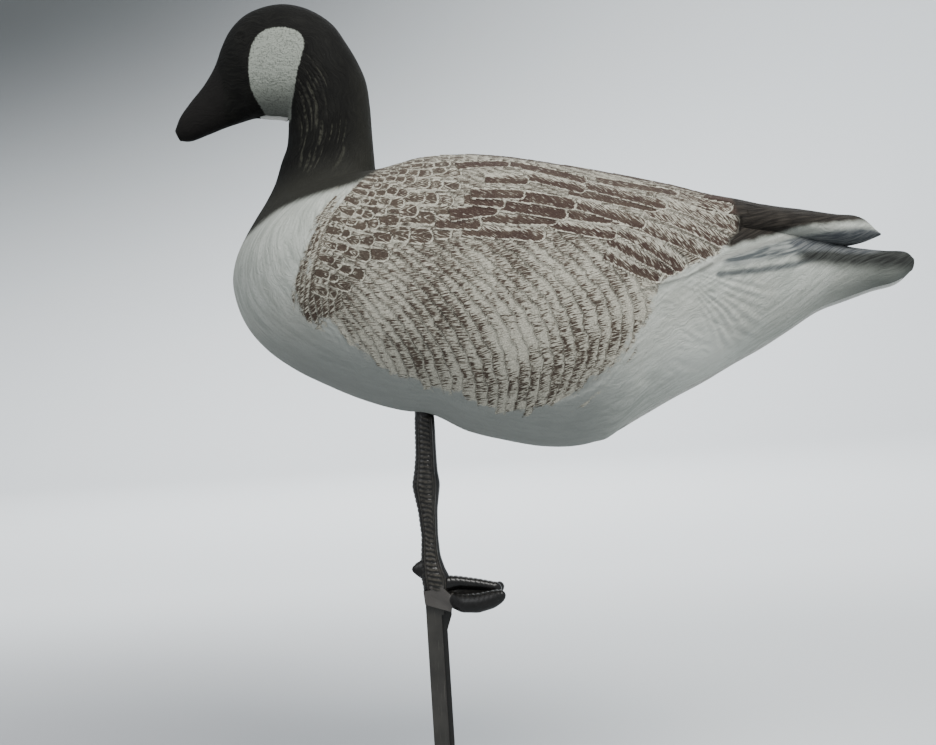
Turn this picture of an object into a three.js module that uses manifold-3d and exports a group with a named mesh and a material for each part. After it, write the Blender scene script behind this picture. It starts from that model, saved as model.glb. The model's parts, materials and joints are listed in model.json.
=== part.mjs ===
// Canada goose field decoy: a hollow foam goose, formed as two half shells,
// turning freely on a post that plugs into a moulded leg with a ground spike.
// Millimetres. The stake axis is the Z axis, ground level is z = 0,
// the goose looks along -X and its left side faces -Y.

import * as THREE from 'three';
import { mergeVertices } from 'three/addons/utils/BufferGeometryUtils.js';
import Module from 'manifold-3d';

// ---------------------------------------------------------------- dimensions

const WALL = 3.5; // formed foam skin
const GAP = 0.3; // air left between two pieces that touch
const GLUE_LINE = 1; // between a shell and the blocks bedded inside it
const LIP = 3.4; // how far the right half's trimmed edge stands proud of the left half's

const BELLY_HOLE_R = 13;
const BELLY_BLOCK_R = 28;
const BELLY_BLOCK_TOP = 206;
const BELLY_BUSH_R = 12.5;
const BELLY_BUSH_FOOT = 190;
const BELLY_FLANGE_R = 19;
const FLANGE_T = 3;

const LEG_JOURNAL_R = 9;
const LEG_TOP = 222;
const RUNNING_CLEARANCE = 0.4; // radial, moulded plastic in moulded plastic

const TENON = 10; // square end of the post
const TENON_LENGTH = 42;
const POST_R = 5;
const POST_FOOT_COLLAR_R = 11;
const POST_COLLAR_T = 4;
const POST_HEAD_COLLAR_R = 8;
const POST_JOURNAL_R = 4;
const POST_TIP = 411;

const BACK_BLOCK_R = 25;
const BACK_BLOCK_FOOT = 385;
const TOP_BUSH_R = 8;
const TOP_BUSH_FLANGE_R = 13;
const TOP_BUSH_LENGTH = 18;
const WASHER_R = 10;
const WASHER_T = 1.5;
const CLIP_R = 8;
const CLIP_T = 1.4;
const CLIP_POCKET_R = 12;

const SPIKE_TIP = -218;
const SPIKE_SHOULDER = -183; // where the blade starts to taper to its point
const SPIKE_LEFT = -9.8;
const SPIKE_RIGHT = 9.3;
const FRONT_PLATE = [-4.5, -1]; // from, to, along Y
const REAR_PLATE = [-1, 3.5];
const FRONT_PLATE_RIGHT = 4.6;
const REAR_PLATE_LEFT = -1;
const SPIKE_TENON = { left: -6, right: 7, top: 14 };
const PIN_R = 2; // the pin goes in from the right side and ends inside the socket's left wall
const PIN_ENDS = [-7, 8.5]; // along Y
const PIN_AT = { x: 0.5, z: 8 };

const ARC_STEPS = 10; // facets across a half shell, from its lower to its upper edge
const ROUND = 40; // facets round a turned piece

// Ribs of the half shell, from the bill round the head and down the neck, then along the body to the tail.
// Each is [upper x, upper z, lower x, lower z, half width]; the neck's hind corner is where the ribs fan out.
const BODY_RIBS = [
  // bill
  [-218, 466, -214, 456, 5], [-213, 477, -205, 455, 9], [-203, 490, -188, 460, 12],
  [-187, 508, -170, 466, 14.5], [-176, 525, -155, 470, 18],
  // face, crown and chin
  [-169, 541, -142, 473, 24], [-161, 555, -133, 475, 28], [-145, 570, -125, 474, 30],
  [-128, 576.5, -119, 473.5, 31], [-109, 578.5, -115, 472.5, 31], [-92, 575, -112, 472, 31],
  [-76, 567, -110, 471, 31], [-62, 555, -110, 468, 32], [-52, 539, -110.5, 464, 32],
  // neck
  [-42.5, 521, -111, 458, 32], [-35.5, 502, -112, 450, 32], [-33, 478, -114, 441, 33],
  [-32.5, 452, -120, 427, 34], [-32, 433, -127, 408, 37], [-31.5, 416, -136, 392, 44],
  // shoulder, fanning out round the hind corner of the neck
  [-31, 415, -146.5, 376, 54], [-30, 415, -157, 359, 64], [-29, 415.5, -167, 338, 74],
  [-27, 416, -171, 319, 82], [-23.5, 416.5, -169, 300, 88], [-18, 418, -161, 277, 93],
  [-11, 420, -142, 252, 96], [-3, 422, -120, 234.5, 98],
  // back and belly
  [9, 425, -86, 215, 99], [30, 426.5, -52, 199, 100], [49, 426, -22, 189, 100],
  [63, 425.5, 7, 183, 100], [93, 421.5, 41, 165, 100], [123, 415.5, 75, 154.5, 100],
  [150, 409.5, 107, 147, 99], [182, 402, 141, 145, 96], [212, 394.5, 169, 151, 91],
  // rump and vent
  [242, 386.5, 204, 171, 84], [273, 377, 236, 187, 75], [306, 368, 267, 201, 65],
  [334, 359, 295, 215.5, 55], [357, 345.5, 323, 229, 45], [379, 331, 350, 244, 36],
  // tail
  [398, 321, 380, 261, 28], [413, 316, 404, 268.5, 22], [442, 311, 430, 276, 14],
  [464.5, 308, 455, 282, 9], [470.5, 302, 468, 290, 6],
];
const CHIN_RIBS = [6, 10]; // the right half's lower edge shows under the chin
const VENT_RIBS = [37, 46]; // and along the underside from the thigh to the tail

// The folded wing's tip stands off the rump as a lobe of its own.
const WING_RIBS = [
  [264, 378, 269, 311, 50], [301, 369, 308, 318, 52], [334, 360, 341, 321, 45],
  [367, 354, 374, 319.5, 37], [395, 348.5, 401, 317, 27], [423, 343, 423.5, 319.5, 17],
  [438, 328, 440, 325, 8],
];

// The leg from its top journal down to the ankle: [z, centre x, half width along x, half width along y].
const SHANK_RINGS = [
  [LEG_TOP, 0, LEG_JOURNAL_R, LEG_JOURNAL_R], [186, 0, LEG_JOURNAL_R, LEG_JOURNAL_R],
  [176, 0.2, 9.4, 9], [145, -0.6, 9.8, 8.6], [130, -1.6, 11, 9], [117, -2.2, 13.2, 10],
  [105, -2.2, 11.2, 8.8], [93, -2.1, 9.2, 8], [69, -1.7, 7.8, 7.2], [50, -1.9, 9, 8],
  [37, -0.6, 11.4, 9.5], [29, 1.4, 13.4, 10.5], [12, 2, 11.5, 9.2],
];
// Toes and spur: [x, y, z, half width, half height].
const MIDDLE_TOE = [
  [2, 0, 22, 8, 9], [22, 0, 23, 6, 6], [42, 0, 19.5, 5.5, 5.5], [54, 0, 16.5, 5.5, 5.5], [63, 0, 15, 4, 4.5],
];
const SIDE_TOE = [
  [4, 6, 9.2, 7, 7.6], [24, 13, 5.2, 7.5, 8.6], [40, 18, 5.2, 7.5, 8.8], [55, 22, 8, 6.5, 6.5], [66, 25, 12.5, 3, 3.2],
];
const SPUR = [[-2, 0, 37, 7, 13], [-10, 0, 37, 5.5, 10], [-16, 0, 37.5, 4, 6], [-21, 0, 38, 2, 2.6]];
// Side view of the plain socket under the foot; its sole slopes down towards the toes.
const SOCKET_SOLE = { backX: -10, backZ: 5.5, frontX: 14.5, frontZ: -3 };
const SOCKET_HALF_WIDTH = 9.5;

// ------------------------------------------------------------- solid helpers

const wasm = await Module();
wasm.setup();

function toSolid(geometry) {
  const bare = geometry.index ? geometry.toNonIndexed() : geometry.clone();
  bare.deleteAttribute('normal');
  bare.deleteAttribute('uv');
  const merged = mergeVertices(bare, 1e-4);
  return new wasm.Manifold(new wasm.Mesh({
    numProp: 3,
    vertProperties: merged.attributes.position.array,
    triVerts: Uint32Array.from(merged.index.array),
  }));
}

function toGeometry(solid) {
  const mesh = solid.getMesh();
  const geometry = new THREE.BufferGeometry();
  geometry.setAttribute('position', new THREE.BufferAttribute(Float32Array.from(mesh.vertProperties), 3));
  geometry.setIndex(new THREE.BufferAttribute(Uint32Array.from(mesh.triVerts), 1));
  geometry.computeVertexNormals();
  return geometry;
}

// Rings of equal point counts joined side by side and capped at both ends.
function loftRings(rings) {
  const count = rings[0].length;
  const points = rings.flat();
  const index = [];
  for (let i = 0; i < rings.length - 1; i += 1) {
    for (let j = 0; j < count; j += 1) {
      const a = i * count + j;
      const b = i * count + ((j + 1) % count);
      index.push(a, b, a + count, b, b + count, a + count);
    }
  }
  const last = (rings.length - 1) * count;
  for (let j = 1; j < count - 1; j += 1) {
    index.push(0, j + 1, j, last, last + j, last + j + 1);
  }
  const geometry = new THREE.BufferGeometry();
  geometry.setAttribute('position', new THREE.Float32BufferAttribute(points.flat(), 3));
  geometry.setIndex(index);
  const solid = toSolid(geometry);
  return solid.volume() > 0 ? solid : toSolid(flipped(geometry));
}

function flipped(geometry) {
  const index = Array.from(geometry.index.array);
  const turned = geometry.clone();
  turned.setIndex(index.reverse());
  return turned;
}

function cylinder(radius, fromZ, toZ) {
  const geometry = new THREE.CylinderGeometry(radius, radius, toZ - fromZ, ROUND);
  geometry.rotateX(Math.PI / 2);
  geometry.translate(0, 0, (fromZ + toZ) / 2);
  return toSolid(geometry);
}

function box(fromX, toX, fromY, toY, fromZ, toZ) {
  const geometry = new THREE.BoxGeometry(toX - fromX, toY - fromY, toZ - fromZ);
  geometry.translate((fromX + toX) / 2, (fromY + toY) / 2, (fromZ + toZ) / 2);
  return toSolid(geometry);
}

// A side-view outline of [x, z] points, as thick as fromY to toY.
function plate(outline, fromY, toY) {
  const shape = new THREE.Shape(outline.map(([x, z]) => new THREE.Vector2(x, z)));
  const geometry = new THREE.ExtrudeGeometry(shape, { depth: toY - fromY, bevelEnabled: false });
  geometry.rotateX(Math.PI / 2);
  geometry.translate(0, toY, 0);
  return toSolid(geometry);
}

function pinAlongY(radius, fromY, toY) {
  const geometry = new THREE.CylinderGeometry(radius, radius, toY - fromY, 20);
  geometry.translate(PIN_AT.x, (fromY + toY) / 2, PIN_AT.z);
  return toSolid(geometry);
}

function pinHole() {
  return pinAlongY(PIN_R + GAP, PIN_ENDS[0] - GAP, 2 * SOCKET_HALF_WIDTH);
}

const union = (solids) => solids.reduce((whole, next) => whole.add(next));

// ---------------------------------------------------------------- half shells

// A half loft on one side (-1 left, +1 right) of the middle plane: each rib is half an ellipse.
function halfLoft(ribs, side, seam) {
  return loftRings(ribs.map(([ux, uz, lx, lz, width]) => {
    const ring = [];
    for (let j = 0; j <= ARC_STEPS; j += 1) {
      const angle = (j / ARC_STEPS) * Math.PI;
      const along = (1 - Math.cos(angle)) / 2;
      const y = side * (seam + width * Math.sin(angle));
      ring.push([lx + (ux - lx) * along, y, lz + (uz - lz) * along]);
    }
    return ring;
  }));
}

// Ribs drawn in by an inset at both ends and in width, for the hollow inside the skin.
function insetRibs(ribs, inset) {
  return ribs
    .filter(([, , , , width]) => width > 2.5 * WALL)
    .map(([ux, uz, lx, lz, width]) => {
      const length = Math.hypot(ux - lx, uz - lz);
      const dx = ((ux - lx) / length) * inset;
      const dz = ((uz - lz) / length) * inset;
      return [ux - dx, uz - dz, lx + dx, lz + dz, width - inset];
    });
}

function hollow(side, inset) {
  const pastMiddle = 1;
  return halfLoft(insetRibs(BODY_RIBS, inset).map(([ux, uz, lx, lz, width]) => (
    [ux, uz, lx, lz, width + pastMiddle]
  )), side, -pastMiddle);
}

function withLip(ribs, [first, last]) {
  return ribs.map(([ux, uz, lx, lz, width], i) => {
    if (i < first || i > last) return [ux, uz, lx, lz, width];
    const length = Math.hypot(ux - lx, uz - lz);
    return [ux, uz, lx - ((ux - lx) / length) * LIP, lz - ((uz - lz) / length) * LIP, width];
  });
}

function shell(side) {
  const ribs = side > 0 ? withLip(withLip(BODY_RIBS, CHIN_RIBS), VENT_RIBS) : BODY_RIBS;
  return halfLoft(ribs, side, GAP / 2)
    .add(halfLoft(WING_RIBS, side, GAP / 2))
    .subtract(hollow(side, WALL))
    .subtract(cylinder(BELLY_HOLE_R, 150, LEG_TOP));
}

// ------------------------------------------------------ bearings in the body

const cavity = hollow(-1, WALL + GLUE_LINE).add(hollow(1, WALL + GLUE_LINE));

function bellyBlock() {
  return cylinder(BELLY_BLOCK_R, 150, BELLY_BLOCK_TOP)
    .intersect(cavity)
    .subtract(cylinder(BELLY_BUSH_R + GAP, 140, BELLY_BLOCK_TOP + 1));
}

function bellyBush() {
  const flangeFoot = BELLY_BLOCK_TOP + GAP;
  return cylinder(BELLY_BUSH_R, BELLY_BUSH_FOOT, flangeFoot + FLANGE_T)
    .add(cylinder(BELLY_FLANGE_R, flangeFoot, flangeFoot + FLANGE_T))
    .subtract(cylinder(LEG_JOURNAL_R + RUNNING_CLEARANCE, BELLY_BUSH_FOOT - 1, flangeFoot + FLANGE_T + 1));
}

const topBushHead = BACK_BLOCK_FOOT + TOP_BUSH_LENGTH;
const clipFoot = topBushHead + GAP;
const washerHead = BACK_BLOCK_FOOT - FLANGE_T - 2 * GAP;
const washerFoot = washerHead - WASHER_T;
const headCollarTop = washerFoot - GAP;

function backBlock() {
  return cylinder(BACK_BLOCK_R, BACK_BLOCK_FOOT, 430)
    .intersect(cavity)
    .subtract(cylinder(TOP_BUSH_R + GAP, BACK_BLOCK_FOOT - 1, 430))
    .subtract(cylinder(CLIP_POCKET_R, topBushHead, 430));
}

function topBush() {
  const flangeHead = BACK_BLOCK_FOOT - GAP;
  return cylinder(TOP_BUSH_R, flangeHead - FLANGE_T, topBushHead)
    .add(cylinder(TOP_BUSH_FLANGE_R, flangeHead - FLANGE_T, flangeHead))
    .subtract(cylinder(POST_JOURNAL_R + GAP, flangeHead - FLANGE_T - 1, topBushHead + 1));
}

// ----------------------------------------------------------------- the post

function swivelPost() {
  const half = TENON / 2;
  const footCollar = LEG_TOP + GAP;
  const grooveR = POST_JOURNAL_R - 0.7;
  return union([
    box(-half, half, -half, half, LEG_TOP - TENON_LENGTH, footCollar),
    cylinder(POST_FOOT_COLLAR_R, footCollar, footCollar + POST_COLLAR_T),
    cylinder(POST_R, footCollar, headCollarTop),
    cylinder(POST_HEAD_COLLAR_R, headCollarTop - POST_COLLAR_T, headCollarTop),
    cylinder(POST_JOURNAL_R, headCollarTop - 1, clipFoot - 0.1),
    cylinder(grooveR, clipFoot - 1, clipFoot + CLIP_T + 1),
    cylinder(POST_JOURNAL_R, clipFoot + CLIP_T + 0.1, POST_TIP),
  ]);
}

function thrustWasher() {
  return cylinder(WASHER_R, washerFoot, washerHead)
    .subtract(cylinder(POST_JOURNAL_R + GAP, washerFoot - 1, washerHead + 1));
}

function retainingClip() {
  const boreR = POST_JOURNAL_R - 0.4;
  const mouth = 5.5;
  return cylinder(CLIP_R, clipFoot, clipFoot + CLIP_T)
    .subtract(cylinder(boreR, clipFoot - 1, clipFoot + CLIP_T + 1))
    .subtract(box(0, CLIP_R + 1, -mouth / 2, mouth / 2, clipFoot - 1, clipFoot + CLIP_T + 1));
}

// ------------------------------------------------------------ leg and spike

function shank() {
  return loftRings(SHANK_RINGS.map(([z, centre, halfX, halfY]) => {
    const ring = [];
    for (let j = 0; j < ROUND; j += 1) {
      const angle = (j / ROUND) * 2 * Math.PI;
      ring.push([centre + halfX * Math.cos(angle), halfY * Math.sin(angle), z]);
    }
    return ring;
  }));
}

function toe(stations, side) {
  const steps = 14;
  return loftRings(stations.map(([x, y, z, halfWidth, halfHeight]) => {
    const ring = [];
    for (let j = 0; j < steps; j += 1) {
      const angle = (j / steps) * 2 * Math.PI;
      ring.push([x, side * y + halfWidth * Math.cos(angle), z + halfHeight * Math.sin(angle)]);
    }
    return ring;
  }));
}

// Skin between the middle toe and a side toe.
function web(side) {
  const under = 3;
  const rings = [[6, 22, 7, 12], [60, 15.5, 23, 9.5]].map(([x, innerZ, outerY, outerZ]) => [
    [x, 0, innerZ], [x, side * outerY, outerZ], [x, side * outerY, outerZ - under], [x, 0, innerZ - 2 * under],
  ]);
  return loftRings(rings);
}

function soleZ(x) {
  const { backX, backZ, frontX, frontZ } = SOCKET_SOLE;
  return backZ + ((x - backX) / (frontX - backX)) * (frontZ - backZ);
}

function spikeSocket() {
  const { backX, backZ, frontX, frontZ } = SOCKET_SOLE;
  const outline = [[backX, backZ], [frontX, frontZ], [frontX + 2, 11], [8, 20], [-11, 18]];
  return plate(outline, -SOCKET_HALF_WIDTH, SOCKET_HALF_WIDTH);
}

function leg() {
  const half = TENON / 2 + GAP;
  return union([
    shank(), spikeSocket(), toe(MIDDLE_TOE, 1), toe(SIDE_TOE, 1), toe(SIDE_TOE, -1), toe(SPUR, 1), web(1), web(-1),
  ])
    .subtract(box(-half, half, -half, half, LEG_TOP - TENON_LENGTH - 1, LEG_TOP + 1))
    .subtract(box(
      SPIKE_TENON.left - GAP, SPIKE_TENON.right + GAP,
      FRONT_PLATE[0] - GAP, REAR_PLATE[1] + GAP, -20, SPIKE_TENON.top + GAP,
    ))
    .subtract(pinHole());
}

// Two overlapping flat plates, a front one and a deeper one set to the right, which end in one point.
function groundSpike() {
  const shoulder = (x) => [x, soleZ(x) - GAP];
  const point = [[1, SPIKE_TIP], [-1.5, SPIKE_TIP]];
  const gussetRight = 14.2;
  const front = [
    shoulder(SPIKE_LEFT), shoulder(FRONT_PLATE_RIGHT), [FRONT_PLATE_RIGHT, SPIKE_SHOULDER],
    ...point, [SPIKE_LEFT, SPIKE_SHOULDER],
  ];
  const rear = [
    shoulder(REAR_PLATE_LEFT), shoulder(gussetRight), [gussetRight, -7], [SPIKE_RIGHT, -21],
    [SPIKE_RIGHT, SPIKE_SHOULDER], ...point,
  ];
  return plate(front, ...FRONT_PLATE)
    .add(plate(rear, ...REAR_PLATE))
    .add(box(SPIKE_TENON.left, SPIKE_TENON.right, FRONT_PLATE[0], REAR_PLATE[1], -6, SPIKE_TENON.top))
    .subtract(pinHole());
}

// -------------------------------------------------------------- the assembly

const finishes = {
  paintedFoam: new THREE.MeshStandardMaterial({ color: 0xb9b8b3, roughness: 0.8, metalness: 0 }),
  bareFoam: new THREE.MeshStandardMaterial({ color: 0xd9d8d2, roughness: 0.9, metalness: 0 }),
  blackPlastic: new THREE.MeshStandardMaterial({ color: 0x2a2826, roughness: 0.4, metalness: 0 }),
  brownPlastic: new THREE.MeshStandardMaterial({ color: 0x3a352f, roughness: 0.5, metalness: 0 }),
  whitePlastic: new THREE.MeshStandardMaterial({ color: 0xe8e6de, roughness: 0.5, metalness: 0 }),
  steel: new THREE.MeshStandardMaterial({ color: 0xa8abb0, roughness: 0.35, metalness: 1 }),
};

const goose = new THREE.Group();

function addPiece(name, solid, finish) {
  const mesh = new THREE.Mesh(toGeometry(solid), finish.clone());
  mesh.name = name;
  goose.add(mesh);
}

addPiece('left_shell', shell(-1), finishes.paintedFoam);
addPiece('right_shell', shell(1), finishes.paintedFoam);
addPiece('belly_block', bellyBlock(), finishes.bareFoam);
addPiece('belly_bush', bellyBush(), finishes.whitePlastic);
addPiece('back_block', backBlock(), finishes.bareFoam);
addPiece('top_bush', topBush(), finishes.whitePlastic);
addPiece('swivel_post', swivelPost(), finishes.steel);
addPiece('thrust_washer', thrustWasher(), finishes.steel);
addPiece('retaining_clip', retainingClip(), finishes.steel);
addPiece('leg', leg(), finishes.blackPlastic);
addPiece('ground_spike', groundSpike(), finishes.brownPlastic);
addPiece('spike_pin', pinAlongY(PIN_R, ...PIN_ENDS), finishes.steel);

export default goose;
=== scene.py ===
"""Looks of the Canada goose field decoy. Lengths are in millimetres until a mesh is made.

The goose looks along -X, its left side faces -Y and the camera, and the stake is the Z axis.
"""

import json
import math

import bpy
import numpy as np
from mathutils import Matrix, Vector, kdtree


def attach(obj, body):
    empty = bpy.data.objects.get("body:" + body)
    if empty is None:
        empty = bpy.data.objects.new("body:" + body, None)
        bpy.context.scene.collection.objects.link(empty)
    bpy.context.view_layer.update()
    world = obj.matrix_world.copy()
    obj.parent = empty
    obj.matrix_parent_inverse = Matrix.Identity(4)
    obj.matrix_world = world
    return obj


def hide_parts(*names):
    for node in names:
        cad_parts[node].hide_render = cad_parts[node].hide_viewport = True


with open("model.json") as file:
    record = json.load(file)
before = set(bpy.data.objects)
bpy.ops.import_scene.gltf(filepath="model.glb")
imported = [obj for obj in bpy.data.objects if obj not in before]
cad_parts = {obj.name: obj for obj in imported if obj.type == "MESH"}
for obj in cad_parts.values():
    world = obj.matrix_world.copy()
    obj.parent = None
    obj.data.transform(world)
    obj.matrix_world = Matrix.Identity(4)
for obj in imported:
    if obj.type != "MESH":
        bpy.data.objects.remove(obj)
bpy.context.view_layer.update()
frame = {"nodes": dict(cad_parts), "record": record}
rng = np.random.default_rng(7)

MM = 0.001
WALL = 3.5  # foam skin
SEAM = 0.15  # each half stands this far off the middle plane
LIP = 3.4  # how far the right half's trimmed edge stands proud
BELLY_HOLE_R = 13

# Ribs of the half shell: [upper x, upper z, lower x, lower z, half width], from the bill to the tail.
BODY_RIBS = np.array([
    # bill
    [-218, 466, -214, 456, 5], [-213, 477, -205, 455, 9], [-203, 490, -188, 460, 12],
    [-187, 508, -170, 466, 14.5], [-176, 525, -155, 470, 18],
    # face, crown and chin
    [-169, 541, -142, 473, 24], [-161, 555, -133, 475, 28], [-145, 570, -125, 474, 30],
    [-128, 576.5, -119, 473.5, 31], [-109, 578.5, -115, 472.5, 31], [-92, 575, -112, 472, 31],
    [-76, 567, -110, 471, 31], [-62, 555, -110, 468, 32], [-52, 539, -110.5, 464, 32],
    # neck
    [-42.5, 521, -111, 458, 32], [-35.5, 502, -112, 450, 32], [-33, 478, -114, 441, 33],
    [-32.5, 452, -120, 427, 34], [-32, 433, -127, 408, 37], [-31.5, 416, -136, 392, 44],
    # shoulder
    [-31, 415, -146.5, 376, 54], [-30, 415, -157, 359, 64], [-29, 415.5, -167, 338, 74],
    [-27, 416, -171, 319, 82], [-23.5, 416.5, -169, 300, 88], [-18, 418, -161, 277, 93],
    [-11, 420, -142, 252, 96], [-3, 422, -120, 234.5, 98],
    # back and belly
    [9, 425, -86, 215, 99], [30, 426.5, -52, 199, 100], [49, 426, -22, 189, 100],
    [63, 425.5, 7, 183, 100], [93, 421.5, 41, 165, 100], [123, 415.5, 75, 154.5, 100],
    [150, 409.5, 107, 147, 99], [182, 402, 141, 145, 96], [212, 394.5, 169, 151, 91],
    # rump and vent
    [242, 386.5, 204, 171, 84], [273, 377, 236, 187, 75], [306, 368, 267, 201, 65],
    [334, 359, 295, 215.5, 55], [357, 345.5, 323, 229, 45], [379, 331, 350, 244, 36],
    # tail
    [398, 321, 380, 261, 28], [413, 316, 404, 268.5, 22], [442, 311, 430, 276, 14],
    [464.5, 308, 455, 282, 9], [470.5, 302, 468, 290, 6],
])
CHIN_RIBS = (6, 10)
VENT_RIBS = (37, 46)
WING_RIBS = np.array([
    [264, 378, 269, 311, 50], [301, 369, 308, 318, 52], [334, 360, 341, 321, 45],
    [367, 354, 374, 319.5, 37], [395, 348.5, 401, 317, 27], [423, 343, 423.5, 319.5, 17],
    [438, 328, 440, 325, 8],
])

# Painted areas as side-view outlines, [x, z].
CHEEK = [
    [-107, 550], [-120, 550], [-131, 544], [-137, 534], [-140, 522], [-141, 510], [-141, 496], [-136, 484],
    [-131, 475], [-131, 462], [-106, 462], [-105, 477], [-100, 491], [-97, 505], [-91, 521], [-87, 535],
    [-93, 546],
]
BLACK = [
    [-25, 417], [-29, 407], [-42, 397], [-63, 391], [-88, 386], [-112, 379], [-128, 372], [-150, 358],
    [-190, 340], [-270, 430], [-240, 640], [0, 640], [-12, 440],
]
BILL = [[-170, 478], [-167, 492], [-168, 511], [-176, 524], [-230, 560], [-260, 420], [-165, 440]]
BROWN = [
    [-31, 416], [-42, 399], [-69, 374], [-87, 347], [-93, 323], [-102, 312], [-106, 293], [-94, 277],
    [-76, 268], [-49, 245], [-16, 221], [17, 207], [43, 198], [72, 186], [122, 187], [149, 195],
    [172, 209], [191, 231], [201, 265], [200, 282], [213, 287], [234, 296], [255, 306], [272, 311],
    [287, 322], [310, 332], [330, 400], [200, 460], [30, 480], [-31, 470],
]
PRIMARIES = [
    [294, 355], [296, 336], [286, 329], [282, 316], [302, 322], [325, 326.5], [348, 332],
    [371, 335], [392, 336], [415, 338.5], [446, 334], [436, 350], [380, 372], [300, 392],
]
WING_UNDERSIDE = [
    [345, 325], [372, 328], [394, 331], [420, 332], [450, 328], [440, 306], [380, 312], [346, 315],
]
TAIL_BAND = [
    [366, 316], [408, 318], [445, 318], [480, 312], [482, 291], [467, 292], [445, 293], [416, 296],
    [380, 299], [346, 305],
]
COVERT_GREY = [
    [277, 308], [300, 314], [324, 320.5], [349, 326], [374, 328], [374, 310], [346, 308], [314, 304],
    [277, 300],
]

# Grooves and pale or dark strokes as side-view lines.
WING_CREASE = [[198, 283], [213, 286], [243, 293], [252, 297], [267, 304]]
THIGH_CREASE = [[166, 156], [181, 174], [196, 198]]
PALE_STRIPE = [
    [256, 299], [283, 311], [300, 315], [324, 321.5], [349, 328], [372, 331.5], [394, 333], [428, 331],
]
SLATE_LINE = [[273, 294], [313, 296], [347, 300], [374, 307], [406, 314]]
FAN_X, FAN_Z = 236, 300  # the furrows on the rump spread out from here
EYE_X, EYE_Z = -148, 544
EYE_R = 4.3


# ---- surfaces ----


def knots(ribs):
    """Each rib's distance from the first one."""
    upper = np.hypot(*np.diff(ribs[:, 0:2], axis=0).T)
    lower = np.hypot(*np.diff(ribs[:, 2:4], axis=0).T)
    return np.concatenate([[0], np.cumsum(np.maximum(upper, lower))])


def smooth_ribs(ribs, at):
    """The ribs' values at distances `at` along them, on a smooth curve through every rib."""
    t = knots(ribs)
    step = np.diff(t)[:, None]
    slope = np.diff(ribs, axis=0) / step
    tangent = np.empty_like(ribs, dtype=float)
    tangent[0] = slope[0]
    tangent[-1] = slope[-1]
    tangent[1:-1] = (step[:-1] * slope[1:] + step[1:] * slope[:-1]) / (step[:-1] + step[1:])
    k = np.clip(np.searchsorted(t, at, "right") - 1, 0, len(t) - 2)
    h = step[k]
    u = ((at - t[k])[:, None]) / h
    return (
        (2 * u**3 - 3 * u**2 + 1) * ribs[k]
        + (u**3 - 2 * u**2 + u) * h * tangent[k]
        + (3 * u**2 - 2 * u**3) * ribs[k + 1]
        + (u**3 - u**2) * h * tangent[k + 1]
    )


def stations(ribs, spacing):
    """Distances along the ribs; spacing lists from which rib on they are how far apart."""
    t = knots(ribs)
    starts = [*spacing, (len(ribs) - 1, None)]
    parts = []
    for (first, gap), (last, _) in zip(starts[:-1], starts[1:]):
        count = max(2, int((t[last] - t[first]) / gap))
        parts.append(np.linspace(t[first], t[last], count, endpoint=False))
    return np.concatenate(parts + [[t[-1]]])


def half_surface(ribs, side, seam, at, arc_steps):
    """Points of a half shell: one row for each station, from the lower to the upper edge."""
    r = smooth_ribs(ribs, at)
    angle = np.linspace(0, np.pi, arc_steps + 1)
    along = (1 - np.cos(angle)) / 2
    x = r[:, 2, None] + (r[:, 0] - r[:, 2])[:, None] * along
    z = r[:, 3, None] + (r[:, 1] - r[:, 3])[:, None] * along
    y = side * (seam + r[:, 4, None] * np.sin(angle))
    return np.stack([x, y, z], -1)


def surface_normals(grid, side):
    du = np.gradient(grid, axis=0)
    dv = np.gradient(grid, axis=1)
    n = np.cross(du, dv)
    n /= np.maximum(np.linalg.norm(n, axis=-1, keepdims=True), 1e-9)
    facing = np.sign(np.median(n[..., 1]))
    return n * facing * side


def with_lip(ribs, span):
    """The ribs, with those from span[0] to span[1] reaching LIP lower."""
    out = ribs.copy()
    for i in range(span[0], span[1] + 1):
        reach = out[i, 0:2] - out[i, 2:4]
        out[i, 2:4] -= reach / np.linalg.norm(reach) * LIP
    return out


def inset_ribs(ribs, inset):
    """The hollow's ribs; the thin ends of the body stay solid."""
    kept = ribs[ribs[:, 4] > 2.5 * WALL].copy()
    reach = kept[:, 0:2] - kept[:, 2:4]
    reach /= np.linalg.norm(reach, axis=1, keepdims=True)
    kept[:, 0:2] -= reach * inset
    kept[:, 2:4] += reach * inset
    kept[:, 4] -= inset
    return kept


BODY_AT = stations(BODY_RIBS, [(0, 1.8), (19, 1.3), (40, 1.7)])
BODY_ARC = 240
WING_AT = stations(WING_RIBS, [(0, 1.3)])
WING_ARC = 90

body_grid = half_surface(BODY_RIBS, -1, SEAM, BODY_AT, BODY_ARC)
wing_grid = half_surface(WING_RIBS, -1, SEAM, WING_AT, WING_ARC)
body_normals = surface_normals(body_grid, 1)
wing_normals = surface_normals(wing_grid, 1)
points = np.concatenate([body_grid.reshape(-1, 3), wing_grid.reshape(-1, 3)])
normals = np.concatenate([body_normals.reshape(-1, 3), wing_normals.reshape(-1, 3)])
COUNT = len(points)
X = points[:, 0]
Y = -points[:, 1]
Z = points[:, 2]


def grid_distances(grid):
    """Along the body and around it, in mm, for hair and furrow patterns."""
    across = np.linalg.norm(np.diff(grid, axis=1), axis=-1)
    across = np.concatenate([np.zeros((len(grid), 1)), np.cumsum(across, axis=1)], axis=1)
    middle = grid[:, grid.shape[1] // 2]
    along = np.concatenate([[0], np.cumsum(np.linalg.norm(np.diff(middle, axis=0), axis=-1))])
    along = np.repeat(along[:, None], grid.shape[1], axis=1)
    return along.reshape(-1), across.reshape(-1)


body_along, body_across = grid_distances(body_grid)
wing_along, wing_across = grid_distances(wing_grid)
along = np.concatenate([body_along, wing_along + 700])
across = np.concatenate([body_across, wing_across])

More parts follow.
